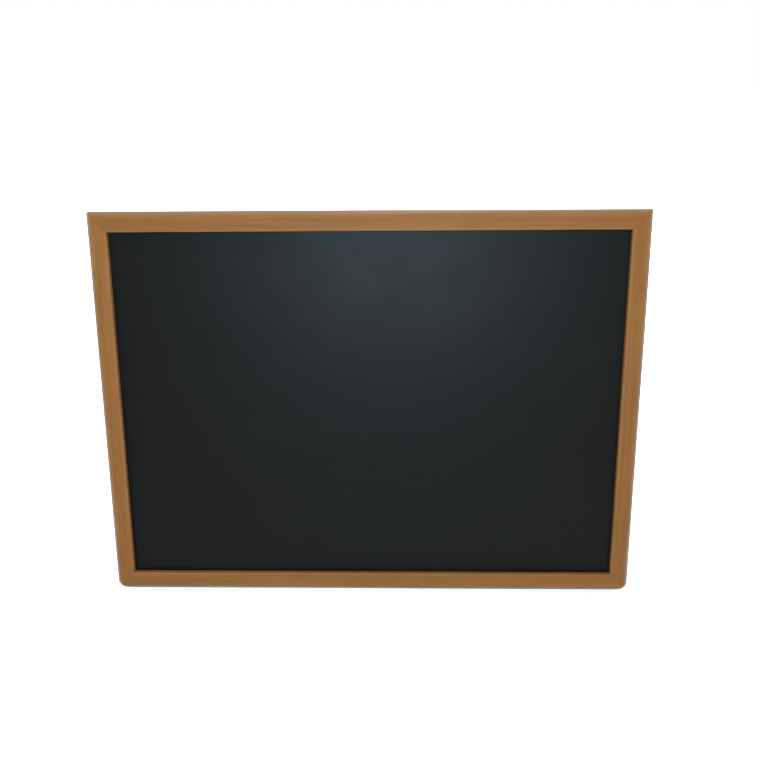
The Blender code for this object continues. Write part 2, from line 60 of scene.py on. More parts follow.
RAIL_WIDTH = 0.016
RAIL_DEPTH = 0.016
EDGE_RADIUS = 0.0055
REBATE = 0.005
LIP = 0.004
LAND_WIDTH = RAIL_WIDTH - REBATE
LEG_WIDTH = 0.396
STILE_WIDTH = 0.016
LEG_THICKNESS = 0.010
TOP_BAR_HEIGHT = 0.020
LOWER_BAR_HEIGHT = 0.018
LOWER_BAR_DROP = 0.250
LEG_TOP_DROP = 0.004
HINGE_STANDOFF = 0.0023
HINGE_Z = 0.317
HINGE_OFFSET = 0.130
HINGE_LENGTH = 0.025
BOARD_LEAF_WIDTH = 0.008
LEG_LEAF_WIDTH = 0.012
BOARD_LEAF_SCREW_DROP = 0.005
LEG_LEAF_SCREW_DROP = 0.008
HINGE_SCREW_SPREAD = 0.007
LEAF_THICKNESS = 0.001
KNUCKLE_RADIUS = 0.002
PIN_RADIUS = 0.001
GAP = 0.0003
LEG_MIDDLE = HINGE_STANDOFF + LEG_THICKNESS / 2
STAY_SET = radians(-0.33)
STAY_WIDTH = 0.009
STAY_THICKNESS = 0.0015
STAY_SLOT_WIDTH = 0.0052
STAY_SPACER = 0.004
STAY_PIVOT_DROP = 0.060
STAY_PEG_DROP = 0.190
STAY_END_MARGIN = 0.002
NECK_RADIUS = 0.0015
NECK_HOLE_RADIUS = NECK_RADIUS + 0.0001
SCREW_SINK = 0.0001

SIDES = {"left": -1, "right": 1}
UPWARD = {"bottom": -1, "top": 1}

JOINTS = {joint["name"]: joint for joint in frame["joints"]}
COUPLINGS = {c["joint"]: c["ratio"] for c in frame["record"]["behaviour"]["couplings"]}

# ---------------------------------------------------------------- places of the bodies
HINGE_AT = Vector(JOINTS["leg_fold"]["pos_m"])
TURN_BOARD = Matrix.Rotation(-BOARD_LEAN, 4, "X")
BOARD = Matrix.Translation(HINGE_AT) @ TURN_BOARD @ Matrix.Translation((0, -HINGE_STANDOFF, -HINGE_Z))
LEG = Matrix.Translation(HINGE_AT) @ Matrix.Rotation(FOLD_ANGLE - BOARD_LEAN, 4, "X")


def stay_place(side):
    swing = -COUPLINGS[f"{side}_stay_swing"] * FOLD_ANGLE + STAY_SET
    pivot = Matrix.Translation(JOINTS[f"{side}_stay_swing"]["pos_m"])
    return pivot @ Matrix.Rotation(FOLD_ANGLE - BOARD_LEAN + swing, 4, "X")


def at(base, location, turn=(0, 0, 0)):
    return base @ Matrix.Translation(location) @ Euler(turn).to_matrix().to_4x4()


# ---------------------------------------------------------------- camera
CAMERA_AT = (0.0207, -0.5428, 0.4294)
CAMERA_PITCH = radians(26.48)    # below the horizon
CAMERA_YAW = radians(1.345)      # towards -X
CAMERA_ROLL = radians(-0.664)
CAMERA_LENS = 32.2


def make_camera():
    data = bpy.data.cameras.new("camera")
    data.lens = CAMERA_LENS
    data.clip_start = 0.01
    camera = bpy.data.objects.new("camera", data)
    bpy.context.scene.collection.objects.link(camera)
    turn = Matrix.Rotation(CAMERA_YAW, 4, "Z") @ Matrix.Rotation(pi / 2 - CAMERA_PITCH, 4, "X")
    camera.matrix_world = Matrix.Translation(CAMERA_AT) @ turn @ Matrix.Rotation(CAMERA_ROLL, 4, "Z")
    bpy.context.scene.camera = camera


make_camera()


# ---------------------------------------------------------------- material nodes
class Shade:
    """A Principled material and short ways to add the nodes that feed it."""

    def __init__(self, name):
        self.material = bpy.data.materials.new(name)
        self.material.use_nodes = True
        self.tree = self.material.node_tree
        self.shader = self.tree.nodes["Principled BSDF"]

    def node(self, kind, **settings):
        node = self.tree.nodes.new(kind)
        for key, value in settings.items():
            setattr(node, key, value)
        return node

    def link(self, value, socket):
        if isinstance(value, bpy.types.NodeSocket):
            self.tree.links.new(value, socket)
        else:
            socket.default_value = value

    def set(self, **values):
        for key, value in values.items():
            self.link(value, self.shader.inputs[key.replace("_", " ")])

    def coords(self, scale, offset=(0, 0, 0)):
        """The piece's own coordinates, in metres, stretched by scale."""
        source = self.node("ShaderNodeTexCoord").outputs["Object"]
        mapping = self.node("ShaderNodeMapping")
        self.link(source, mapping.inputs["Vector"])
        mapping.inputs["Scale"].default_value = scale
        mapping.inputs["Location"].default_value = offset
        return mapping.outputs["Vector"]

    def noise(self, vector, scale=1.0, detail=4.0, rough=0.55, distortion=0.0):
        node = self.node("ShaderNodeTexNoise")
        self.link(vector, node.inputs["Vector"])
        node.inputs["Scale"].default_value = scale
        node.inputs["Detail"].default_value = detail
        node.inputs["Roughness"].default_value = rough
        node.inputs["Distortion"].default_value = distortion
        return node.outputs["Fac"]

    def spread(self, value, low, high, to_low=0.0, to_high=1.0):
        node = self.node("ShaderNodeMapRange")
        self.link(value, node.inputs["Value"])
        limits = {"From Min": low, "From Max": high, "To Min": to_low, "To Max": to_high}
        for key, limit in limits.items():
            node.inputs[key].default_value = limit
        return node.outputs["Result"]

    def mix(self, factor, first, second, blend="MIX"):
        node = self.node("ShaderNodeMix", data_type="RGBA", blend_type=blend)
        self.link(factor, node.inputs[0])
        self.link((*first, 1.0) if isinstance(first, tuple) else first, node.inputs[6])
        self.link((*second, 1.0) if isinstance(second, tuple) else second, node.inputs[7])
        return node.outputs[2]

    def math(self, operation, first, second):
        node = self.node("ShaderNodeMath", operation=operation)
        self.link(first, node.inputs[0])
        self.link(second, node.inputs[1])
        return node.outputs[0]

    def ramp(self, value, stops):
        node = self.node("ShaderNodeValToRGB")
        self.link(value, node.inputs["Fac"])
        elements = node.color_ramp.elements
        while len(elements) < len(stops):
            elements.new(1.0)
        for element, (place, colour) in zip(elements, stops):
            element.position = place
            element.color = (*colour, 1.0)
        return node.outputs["Color"]

    def attribute(self, name):
        node = self.node("ShaderNodeAttribute", attribute_name=name)
        return node.outputs["Fac"]

    def bump(self, height, distance, strength=1.0, normal=None):
        node = self.node("ShaderNodeBump")
        self.link(height, node.inputs["Height"])
        node.inputs["Distance"].default_value = distance
        node.inputs["Strength"].default_value = strength
        if normal is not None:
            self.link(normal, node.inputs["Normal"])
        return node.outputs["Normal"]


# ---------------------------------------------------------------- materials
def wood(name, along, seed, shade, handled):
    """Stained and satin-varnished wood, its grain along the axis 0 x or 2 z of the piece.

    A handled piece has the attributes that mark its worn and its polished edges.
    """
    def stretched(long_scale, cross_scale):
        scale = [cross_scale] * 3
        scale[along] = long_scale
        return tuple(scale)

    look = Shade(name)
    offset = (3.1 * seed, 1.7 * seed, 2.3 * seed)
    figure = look.noise(look.coords(stretched(5, 150), offset), detail=5, rough=0.6, distortion=0.5)
    streak = look.noise(look.coords(stretched(14, 600), offset), detail=4, rough=0.55)
    fibre = look.noise(look.coords(stretched(60, 2600), offset), detail=3)
    patch = look.noise(look.coords(stretched(12, 45), offset), detail=3)
    # shade scales every colour of the piece evenly; for the rails it is painted shade, set rail by rail
    dark = tuple(shade * c for c in (0.118, 0.0400, 0.0088))
    middle = tuple(shade * c for c in (0.134, 0.0465, 0.0108))
    light = tuple(shade * c for c in (0.151, 0.0540, 0.0136))
    colour = look.ramp(figure, [(0.30, dark), (0.50, middle), (0.72, light)])
    ruddy = tuple(shade * c for c in (0.150, 0.0460, 0.0125))
    colour = look.mix(look.spread(patch, 0.45, 0.75, 0.0, 0.5), colour, ruddy)
    olive = tuple(shade * c for c in (0.127, 0.0500, 0.0072))
    colour = look.mix(look.spread(patch, 0.50, 0.25, 0.0, 0.5), colour, olive)
    streaks = look.spread(streak, 0.35, 0.65, 0.90, 1.06)
    colour = look.mix(1.0, colour, streaks, "MULTIPLY")
    pores = look.spread(fibre, 0.57, 0.70, 0.0, 0.50)
    colour = look.mix(pores, colour, tuple(shade * c for c in (0.072, 0.0235, 0.0056)))
    satin = look.spread(streak, 0.3, 0.7, 0.58, 0.68)
    look.shader.inputs["Specular IOR Level"].default_value = 0.08
    if handled:
        worn = tuple(shade * c for c in (0.190, 0.0800, 0.0260))
        colour = look.mix(look.math("MULTIPLY", look.attribute("wear"), 0.45), colour, worn)
        polish = look.attribute("polish")
        satin = look.math("SUBTRACT", satin, look.math("MULTIPLY", polish, 0.20))
        look.set(Specular_IOR_Level=look.spread(polish, 0.0, 1.0, 0.08, 0.36))
    look.set(Base_Color=colour, Roughness=satin)
    height = look.math("ADD", look.math("MULTIPLY", fibre, 0.6), streak)
    look.set(Normal=look.bump(height, 0.00012, 0.4))
    return look.material


def blackboard():
    """Matte blackboard paint: a fine tooth, wiped clouds of old dust and a soft cool sheen."""
    look = Shade("blackboard_paint")
    cloud = look.noise(look.coords((9, 9, 14)), detail=5, rough=0.6, distortion=1.2)
    wipe = look.noise(look.coords((5, 5, 60)), detail=4, rough=0.5, distortion=0.6)
    tooth = look.noise(look.coords((1800, 1800, 1800)), detail=2)
    roller = look.noise(look.coords((260, 260, 260)), detail=3)
    dust = look.math("MULTIPLY", look.spread(cloud, 0.40, 0.75), look.spread(wipe, 0.35, 0.75))
    colour = look.mix(dust, (0.0012, 0.0006, 0.0002), (0.0022, 0.0015, 0.0009))
    speck = look.spread(tooth, 0.66, 0.80, 0.0, 0.25)
    colour = look.mix(speck, colour, (0.0060, 0.0058, 0.0050))
    look.set(Base_Color=colour)
    look.set(Roughness=look.spread(cloud, 0.3, 0.7, 0.49, 0.55))
    height = look.math("ADD", look.math("MULTIPLY", tooth, 0.5), roller)
    look.set(Normal=look.bump(height, 0.00008, 0.25))
    look.shader.inputs["Specular IOR Level"].default_value = 0.088
    look.shader.inputs["Specular Tint"].default_value = (1.0, 0.97, 0.93, 1.0)
    return look.material


def hardboard():
    """Pressed fibreboard with the fine screen weave of its back face."""
    look = Shade("hardboard_back")
    fibre = look.noise(look.coords((700, 700, 700)), detail=5, rough=0.65)
    blotch = look.noise(look.coords((22, 22, 30)), detail=4)
    colour = look.ramp(fibre, [(0.3, (0.120, 0.062, 0.028)), (0.7, (0.235, 0.138, 0.072))])
    colour = look.mix(look.spread(blotch, 0.35, 0.7, 0.0, 0.4), colour, (0.130, 0.070, 0.034))
    look.set(Base_Color=colour, Roughness=look.spread(fibre, 0.2, 0.8, 0.62, 0.85))
    threads = []
    for axis in ("X", "Z"):
        wave = look.node("ShaderNodeTexWave", wave_type="BANDS", bands_direction=axis)
        look.link(look.coords((1, 1, 1)), wave.inputs["Vector"])
        wave.inputs["Scale"].default_value = 240
        wave.inputs["Distortion"].default_value = 0.6
        threads.append(wave.outputs["Fac"])
    screen = look.math("MULTIPLY", threads[0], threads[1])
    normal = look.bump(screen, 0.00015, 0.6)
    look.set(Normal=look.bump(fibre, 0.0001, 0.3, normal))
    look.shader.inputs["Specular IOR Level"].default_value = 0.3
    return look.material


def metal(name, bright, dull, rough_low, rough_high, scale):
    """Sheet or turned metal with fine drawn scratches and dull patches."""
    look = Shade(name)
    patch = look.noise(look.coords((90, 90, 90)), detail=5, rough=0.6)
    grain = look.noise(look.coords(scale), detail=3)
    colour = look.mix(look.spread(patch, 0.42, 0.68), bright, dull)
    look.set(Base_Color=colour, Metallic=1.0)
    rough = look.math("ADD", look.spread(patch, 0.3, 0.7, rough_low, rough_high),
                      look.spread(grain, 0.3, 0.7, -0.05, 0.05))
    look.set(Roughness=rough)
    look.set(Normal=look.bump(grain, 0.00002, 0.35))
    return look.material


BLACKBOARD = blackboard()
HARDBOARD = hardboard()
BRASS = metal("brass_satin", (0.600, 0.415, 0.165), (0.430, 0.275, 0.095), 0.24, 0.38, (400, 400, 4000))
STEEL = metal("zinc_steel", (0.400, 0.400, 0.410), (0.270, 0.275, 0.290), 0.30, 0.46, (300, 3000, 300))


# ---------------------------------------------------------------- outlines
def arc(centre, radius, start, end, step=radians(6)):
    count = max(1, round(abs(end - start) / step))
    angles = [start + (end - start) * i / count for i in range(count + 1)]
    return [(centre[0] + radius * cos(a), centre[1] + radius * sin(a)) for a in angles]


def circle(radius, centre=(0, 0)):
    return arc(centre, radius, 0, 2 * pi)[:-1]


def capsule(radius, top, bottom):
    return arc((0, top), radius, 0, pi) + arc((0, bottom), radius, pi, 2 * pi)


# ---------------------------------------------------------------- shapes
PLANES = {
    "XY": Matrix.Identity(4),
    "XZ": Matrix(((1, 0, 0, 0), (0, 0, 1, 0), (0, 1, 0, 0), (0, 0, 0, 1))),
    "YZ": Matrix(((0, 0, 1, 0), (1, 0, 0, 0), (0, 1, 0, 0), (0, 0, 0, 1))),
}
SMOOTH_ANGLE = radians(35)


def show(name, mesh, place):
    obj = bpy.data.objects.new(name, mesh)
    bpy.context.scene.collection.objects.link(obj)
    obj.matrix_world = place
    return obj


def mesh_of(obj):
    """The object's mesh with its modifiers applied; the object itself is removed."""
    bpy.context.view_layer.update()
    evaluated = obj.evaluated_get(bpy.context.evaluated_depsgraph_get())
    mesh = bpy.data.meshes.new_from_object(evaluated)
    bpy.data.objects.remove(obj, do_unlink=True)
    return mesh


def tidy(mesh):
    shape = bmesh.new()
    shape.from_mesh(mesh)
    bmesh.ops.remove_doubles(shape, verts=shape.verts, dist=1e-7)
    bmesh.ops.recalc_face_normals(shape, faces=shape.faces)
    shape.to_mesh(mesh)
    shape.free()
    mesh.shade_smooth()
    mesh.set_sharp_from_angle(angle=SMOOTH_ANGLE)
    return mesh


def prism(outlines, thickness, plane):
    """A flat outline, with any further outlines as holes, extruded evenly about its plane."""
    curve = bpy.data.curves.new("outline", "CURVE")
    curve.dimensions = "2D"
    curve.fill_mode = "BOTH"
    curve.extrude = thickness / 2
    for outline in outlines:
        spline = curve.splines.new("POLY")
        spline.points.add(len(outline) - 1)
        for point, (a, b) in zip(spline.points, outline):
            point.co = (a, b, 0, 1)
        spline.use_cyclic_u = True
    mesh = mesh_of(show("outline", curve, Matrix.Identity(4)))
    mesh.transform(PLANES[plane])
    shape = bmesh.new()
    shape.from_mesh(mesh)
    bmesh.ops.remove_doubles(shape, verts=shape.verts, dist=1e-7)
    flat = radians(1)
    bmesh.ops.dissolve_limit(shape, angle_limit=flat, verts=shape.verts, edges=shape.edges)
    shape.to_mesh(mesh)
    shape.free()
    return tidy(mesh)


def box(size):
    mesh = bpy.data.meshes.new("box")
    shape = bmesh.new()
    bmesh.ops.create_cube(shape, size=1.0, matrix=Matrix.Diagonal((*size, 1.0)))
    shape.to_mesh(mesh)
    shape.free()
    return mesh


def turned(profile, steps=48):
    """A profile of (radius, z) points, from the top down its outer side, turned about Z."""
    mesh = bpy.data.meshes.new("profile")
    shape = bmesh.new()
    verts = [shape.verts.new((radius, 0, z)) for radius, z in profile]
    for first, second in zip(verts, verts[1:]):
        shape.edges.new((first, second))
    shape.to_mesh(mesh)
    shape.free()
    obj = show("profile", mesh, Matrix.Identity(4))
    screw = obj.modifiers.new("turn", "SCREW")
    screw.steps = steps
    screw.render_steps = steps
    screw.use_merge_vertices = True
    screw.merge_threshold = 1e-6
    return tidy(mesh_of(obj))


def soften(mesh, width, segments=2, angle=40):
    """Rounds the sharp edges of a mesh."""
    obj = show("soften", mesh, Matrix.Identity(4))
    bevel = obj.modifiers.new("soften", "BEVEL")
    bevel.width = width
    bevel.segments = segments
    bevel.limit_method = "ANGLE"
    bevel.angle_limit = radians(angle)
    bevel.harden_normals = False
    return tidy(mesh_of(obj))


def carve(mesh, place, cuts, operation="DIFFERENCE"):
    """A mesh at a place, with other meshes at their places cut out of it or joined to it."""
    tool = bmesh.new()
    for cut_mesh, cut_place in cuts:
        part = cut_mesh.copy()
        part.transform(place.inverted() @ cut_place)
        tool.from_mesh(part)
        bpy.data.meshes.remove(part)
    tool_mesh = bpy.data.meshes.new("tool")
    tool.to_mesh(tool_mesh)
    tool.free()
    cutter = show("tool", tool_mesh, Matrix.Identity(4))
    obj = show("carved", mesh, Matrix.Identity(4))
    boolean = obj.modifiers.new("carve", "BOOLEAN")
    boolean.operation = operation
    boolean.object = cutter
    result = mesh_of(obj)
    bpy.data.objects.remove(cutter, do_unlink=True)
    return tidy(result)


def piece(name, mesh, place, body, slot, material, *nodes):
    """A finished piece of the object, in place of the frame's nodes that it stands for."""
    mesh.name = name
    mesh.materials.clear()
    mesh.materials.append(material)
    obj = show(name, mesh, place)
    normals = obj.modifiers.new("flat_faces_stay_flat", "WEIGHTED_NORMAL")
    normals.weight = 100
    normals.keep_sharp = True
    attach(obj, body)
    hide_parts(*nodes)
    return obj


# ---------------------------------------------------------------- screws
SCREW_HEAD = 0.0019
SCREW_SHANK = 0.0010
SCREW_HEAD_HEIGHT = 0.0010
FACING_BACK = (-pi / 2, 0, 0)
FACING_FRONT = (pi / 2, 0, 0)
HOLES = {}                       # node of a carved piece: the screw holes in it


def cross_recess(reach, depth):
    """A Phillips recess, as the tapered cross that is cut from a screw's head."""
    def blade(turn):
        mesh = box((2 * reach, 0.00055, 2 * depth))
        for vertex in mesh.vertices:
            if vertex.co.z < 0:
                vertex.co.x *= 0.35
        mesh.transform(Matrix.Rotation(turn, 4, "Z"))
        return mesh
    return [(blade(0), Matrix.Identity(4)), (blade(pi / 2), Matrix.Identity(4))]


def countersunk(length):
    """A countersunk wood screw, its head face at z = 0, with a threaded shank."""
    edge = 0.00008
    profile = [(0, 0), (SCREW_HEAD - edge, 0), (SCREW_HEAD, -edge)]
    profile += [(SCREW_SHANK, -SCREW_HEAD_HEIGHT)]
    pitch = 0.0008
    plain = 0.25 * length
    turns = int((length - plain - 0.002) / pitch)
    for index in range(turns):
        z = -plain - index * pitch
        core = 0.72 * SCREW_SHANK
        profile += [(core, z), (SCREW_SHANK, z - 0.4 * pitch), (SCREW_SHANK, z - 0.5 * pitch)]
    profile += [(0.6 * SCREW_SHANK, 0.0012 - length), (0, -length)]
    mesh = turned(profile, 32)
    for cut in cross_recess(0.0011, 0.0007):
        mesh = carve(mesh, Matrix.Identity(4), [cut])
    return mesh


def screw_hole(length):
    clear = 0.00012
    above = 2 * GAP
    profile = [(0, above), (SCREW_HEAD + clear, above), (SCREW_HEAD + clear, -clear)]
    profile += [(SCREW_SHANK + clear, -SCREW_HEAD_HEIGHT - clear)]
    profile += [(SCREW_SHANK + clear, -length - clear), (0, -length - clear)]
    return turned(profile, 32)


SCREWS = {length: countersunk(length) for length in (0.008, 0.009, 0.028)}
SCREW_HOLES = {length: screw_hole(length) for length in SCREWS}


def wood_screw(name, length, place, body, slot, material, turn, *targets):
    """A screw, turned by its own amount, and its hole in each piece that it passes through."""
    spun = place @ Matrix.Rotation(radians(turn), 4, "Z")
    piece(name, SCREWS[length].copy(), spun, body, slot, material, name)
    for target in targets:
        HOLES.setdefault(target, []).append((SCREW_HOLES[length], place))


def side_turn(sign):
    return (0, sign * pi / 2, 0)


def spin(index):
    """Where a screw's recess stopped when it was driven home."""
    return (37 * index) % 90


# ---------------------------------------------------------------- rails
TOP_CORNER = 0.0018
LOWER_CORNERS = {"left": 0.0080, "right": 0.0075}
CORNER_STEPS = 8
RAIL_STEPS = 48


def rail_profile():
    """The section of a rail, from the outer back edge round the front.

    Its points are (y, inset, wear, polish): polish marks the rounded edge that hands have rubbed.
    """
    front = -RAIL_DEPTH
    soft = 0.0006
    back = 0.0004
    points = [(-back, 0.0, 0.3, 0.0)]
    for y, inset in arc((front + EDGE_RADIUS, EDGE_RADIUS), EDGE_RADIUS, 1.5 * pi, pi):
        rise = 1 - inset / EDGE_RADIUS
        points.append((y, inset, 0.5, min(1.0, max(0.0, 4 * rise - 1))))
    crown = 0.00012
    width = RAIL_WIDTH - EDGE_RADIUS - soft
    for index in range(1, 6):
        share = index / 6
        inset = EDGE_RADIUS + share * width
        points.append((front - crown * sin(pi * share), inset, 0.0, 0.0))
    for y, inset in arc((front + soft, RAIL_WIDTH - soft), soft, pi, pi / 2, radians(18)):
        points.append((y, inset, 0.8, 0.0))
    points += [(front + LIP, RAIL_WIDTH, 0.0, 0.0), (front + LIP, LAND_WIDTH, 0.0, 0.0)]
    points += [(-back, LAND_WIDTH, 0.3, 0.0), (0.0, LAND_WIDTH - back, 0.3, 0.0)]
    points += [(0.0, back, 0.3, 0.0)]
    return points


def corner_run(inset, radius):
    """Points (x, inset) from a mitre to the straight of a rail, measured from its outer corner."""
    if inset < radius:
        around = arc((radius, radius), radius - inset, 1.25 * pi, 1.5 * pi, pi / 4 / CORNER_STEPS)
        return around
    reach = 0.002
    return [(inset + reach * i / CORNER_STEPS, inset) for i in range(CORNER_STEPS + 1)]


def rail_mesh(length, start_radius, end_radius, seed):
    """A mitred rail: its section swept from mitre to mitre round the frame's corners."""
    seam = 0.00002
    groove = 0.00004
    profile = rail_profile()
    middle_y = -RAIL_DEPTH / 2
    middle_inset = RAIL_WIDTH / 2
    shape = bmesh.new()
    wear_layer = shape.verts.layers.float.new("wear")
    polish_layer = shape.verts.layers.float.new("polish")
    loops = []
    for y, inset, wear, polish in profile:
        start = [(x - length / 2, z) for x, z in corner_run(inset, start_radius)]
        end = [(length / 2 - x, z) for x, z in reversed(corner_run(inset, end_radius))]
        low, high = start[-1][0], end[0][0]
        straight = [(low + (high - low) * i / RAIL_STEPS, inset) for i in range(1, RAIL_STEPS)]
        run = start + straight + end
        loop = []
        for index, (x, z) in enumerate(run):
            depth = y
            if index in (0, len(run) - 1):
                inward = 1 if index == 0 else -1
                x += inward * seam
                depth += groove if y < middle_y else -groove
                z += groove if inset < middle_inset else -groove
            elif CORNER_STEPS < index < len(run) - CORNER_STEPS - 1:
                wobble = noise.noise(Vector((14 * x, 60 * y + seed, 60 * inset)))
                depth += 0.00010 * wobble
                z += 0.00004 * wobble
            vertex = shape.verts.new((x, depth, z))
            scuff = 0.6 + 0.8 * noise.noise(Vector((35 * x, seed, 50 * inset)))
            vertex[wear_layer] = max(0.0, wear * scuff)
            vertex[polish_layer] = polish
            loop.append(vertex)
        loops.append(loop)
    for loop, following in zip(loops, loops[1:] + loops[:1]):
        for index in range(len(loop) - 1):
            shape.faces.new((loop[index], loop[index + 1], following[index + 1], following[index]))
    shape.faces.new([loop[0] for loop in loops])
    shape.faces.new([loop[-1] for loop in loops])
    mesh = bpy.data.meshes.new("rail")
    shape.to_mesh(mesh)
    shape.free()
    return tidy(mesh)


HALF_WIDTH = BOARD_WIDTH / 2
HALF_HEIGHT = BOARD_HEIGHT / 2
RAIL_PLACES = {
    "bottom": at(BOARD, (0, 0, 0)),
    "top": at(BOARD, (0, 0, BOARD_HEIGHT), (0, pi, 0)),
    "left": at(BOARD, (-HALF_WIDTH, 0, HALF_HEIGHT), (0, pi / 2, 0)),
    "right": at(BOARD, (HALF_WIDTH, 0, HALF_HEIGHT), (0, -pi / 2, 0)),
}
# Corner radii at each rail's own -x and +x ends
RAIL_CORNERS = {
    "bottom": (LOWER_CORNERS["left"], LOWER_CORNERS["right"]),
    "top": (TOP_CORNER, TOP_CORNER),
    "left": (TOP_CORNER, LOWER_CORNERS["left"]),
    "right": (LOWER_CORNERS["right"], TOP_CORNER),
}
# Painted shade: each rail's wood colour is scaled to how brightly that rail is lit, darkest on the bottom rail
# where the light falls off towards the foot of the board
RAIL_PAINTED_SHADE = {"bottom": 0.93, "top": 0.95, "left": 1.0, "right": 0.94}


def nail_slot(across, up):
    """The L-shaped slit that a corner nail is pressed into."""
    leg = 0.0061
    half = 0.0004
    length = 0.0080
    outline = [(-half, -half), (leg, -half), (leg, half), (half, half), (half, leg), (-half, leg)]
    return prism([[(across * a, up * b) for a, b in outline]], length, "XZ")


def corner_cuts():
    inset = 0.0055
    middle_y = -0.0038
    for side, sign in SIDES.items():
        for level, up in UPWARD.items():
            x = sign * (HALF_WIDTH - inset)
            z = inset if up < 0 else BOARD_HEIGHT - inset
            slot = (nail_slot(-sign, -up), at(BOARD, (x, middle_y, z)))
            for rail in (level, side):
                HOLES.setdefault(f"{rail}_rail", []).append(slot)


def point_cuts():
    """Slits in the rebate's wall for the steel points that hold the backing."""
    width, thickness, reach = 0.0054, 0.0009, 0.0132
    for name in [n for n in frame["nodes"] if n.startswith("retaining_point_")]:
        words = name.split("_")
        low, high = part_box(name)
        centre = BOARD.inverted() @ ((low + high) / 2)
        upright = words[2] in UPWARD
        size = (width, thickness, reach) if upright else (reach, thickness, width)
        HOLES.setdefault(f"{words[2]}_rail", []).append((box(size), at(BOARD, centre)))


def make_rails():
    for index, (name, place) in enumerate(RAIL_PLACES.items()):
        length = BOARD_WIDTH if name in UPWARD else BOARD_HEIGHT
        node = f"{name}_rail"
        mesh = rail_mesh(length, *RAIL_CORNERS[name], seed=10 * index)
        mesh = carve(mesh, place, HOLES[node])
        look = wood(f"wood_{name}", 0, index + 1, RAIL_PAINTED_SHADE[name], True)
        piece(f"{name}_rail_wood", mesh, place, "board", "wood", look, node)


# ---------------------------------------------------------------- panel and backing
SHEET_THICKNESSES = {"chalk_panel": 0.003, "backing_board": 0.0025}


def sheet_piece(name, node, slot, material, soft):
    low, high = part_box(node)
    thickness = SHEET_THICKNESSES[node]
    height = (high.z - low.z - thickness * sin(BOARD_LEAN)) / cos(BOARD_LEAN)
    mesh = soften(box((high.x - low.x, thickness, height)), soft)
    place = at(BOARD, BOARD.inverted() @ ((low + high) / 2))
    piece(name, mesh, place, "board", slot, material, node)


# ---------------------------------------------------------------- rear leg
def foot_drop(y):
    return (HINGE_AT.z + y * sin(FOLD_ANGLE - BOARD_LEAN)) / cos(FOLD_ANGLE - BOARD_LEAN)


def leg_wood():
    back = HINGE_STANDOFF + LEG_THICKNESS
    outline = [(HINGE_STANDOFF, -LEG_TOP_DROP), (HINGE_STANDOFF, -foot_drop(HINGE_STANDOFF))]
    outline += [(back, -foot_drop(back)), (back, -LEG_TOP_DROP)]
    for index, (side, sign) in enumerate(SIDES.items()):
        node = f"leg_stile_{side}"
        place = at(LEG, (sign * (LEG_WIDTH - STILE_WIDTH) / 2, 0, 0))
        mesh = soften(prism([outline], STILE_WIDTH, "YZ"), 0.0010, 3)
        mesh = carve(mesh, place, HOLES[node])
        look = wood(f"wood_stile_{side}", 2, index + 6, 0.93, False)
        piece(f"{node}_wood", mesh, place, "rear_leg", "wood", look, node)
    bars = {"top": (TOP_BAR_HEIGHT, LEG_TOP_DROP + TOP_BAR_HEIGHT / 2),
            "lower": (LOWER_BAR_HEIGHT, LOWER_BAR_DROP)}
    length = LEG_WIDTH - 2 * STILE_WIDTH - 2 * GAP
    for index, (level, (height, drop)) in enumerate(bars.items()):
        node = f"leg_{level}_crossbar"
        place = at(LEG, (0, LEG_MIDDLE, -drop))
        mesh = soften(box((length, LEG_THICKNESS, height)), 0.0008, 3)
        mesh = carve(mesh, place, HOLES[node])
        look = wood(f"wood_{level}_crossbar", 0, index + 9, 0.95, False)
        piece(f"{node}_wood", mesh, place, "rear_leg", "wood", look, node)


def crossbar_screws():
    drops = {"top": LEG_TOP_DROP + TOP_BAR_HEIGHT / 2, "lower": LOWER_BAR_DROP}
    index = 0
    for side, sign in SIDES.items():
        for level, drop in drops.items():
            index += 1
            place = at(LEG, (sign * (LEG_WIDTH / 2 - GAP), LEG_MIDDLE, -drop), side_turn(sign))
            wood_screw(f"crossbar_screw_{level}_{side}", 0.028, place, "rear_leg", "steel", STEEL,
                       spin(index), f"leg_stile_{side}", f"leg_{level}_crossbar")


# ---------------------------------------------------------------- hinges
def leaf_profile(direction, width):
    outer = KNUCKLE_RADIUS
    inner = PIN_RADIUS + 0.00008
    plate_inner = -outer + LEAF_THICKNESS
    meet = pi + atan2((inner ** 2 - plate_inner ** 2) ** 0.5, -plate_inner)
    curl_end = radians(-112)
    outline = [(-outer, -width)] + arc((0, 0), outer, pi, curl_end)
    outline += arc((0, 0), inner, curl_end, meet) + [(plate_inner, -width)]
    return [(-direction * a, b) for a, b in outline]


def corner_trim(radius, sign):
    """What rounding takes off a leaf's free corner; the corner is at the origin."""
    clear = 0.001
    outline = arc((-radius, radius), radius, 0, -pi / 2)
    outline += [(-radius, -clear), (clear, -clear), (clear, radius)]
    return prism([[(sign * a, b) for a, b in outline]], 0.02, "XZ")


def hinge_leaf(direction, width, notches, holes, place):
    clear, corner_radius, edge = 0.00015, 0.0012, 0.00012
    mesh = prism([leaf_profile(direction, width)], HINGE_LENGTH, "YZ")
    cuts = []
    reach = 2 * (KNUCKLE_RADIUS + clear)
    for middle, length in notches:
        notch = box((length, 2 * reach, 2 * reach))
        cuts.append((notch, at(place, (middle, 0, reach / 2 - clear))))
    for sign in SIDES.values():
        corner = at(place, (sign * HINGE_LENGTH / 2, 0, -width))
        cuts.append((corner_trim(corner_radius, sign), corner))
    mesh = carve(mesh, place, cuts)
    mesh = soften(mesh, edge, 2, 50)
    return carve(mesh, place, holes)


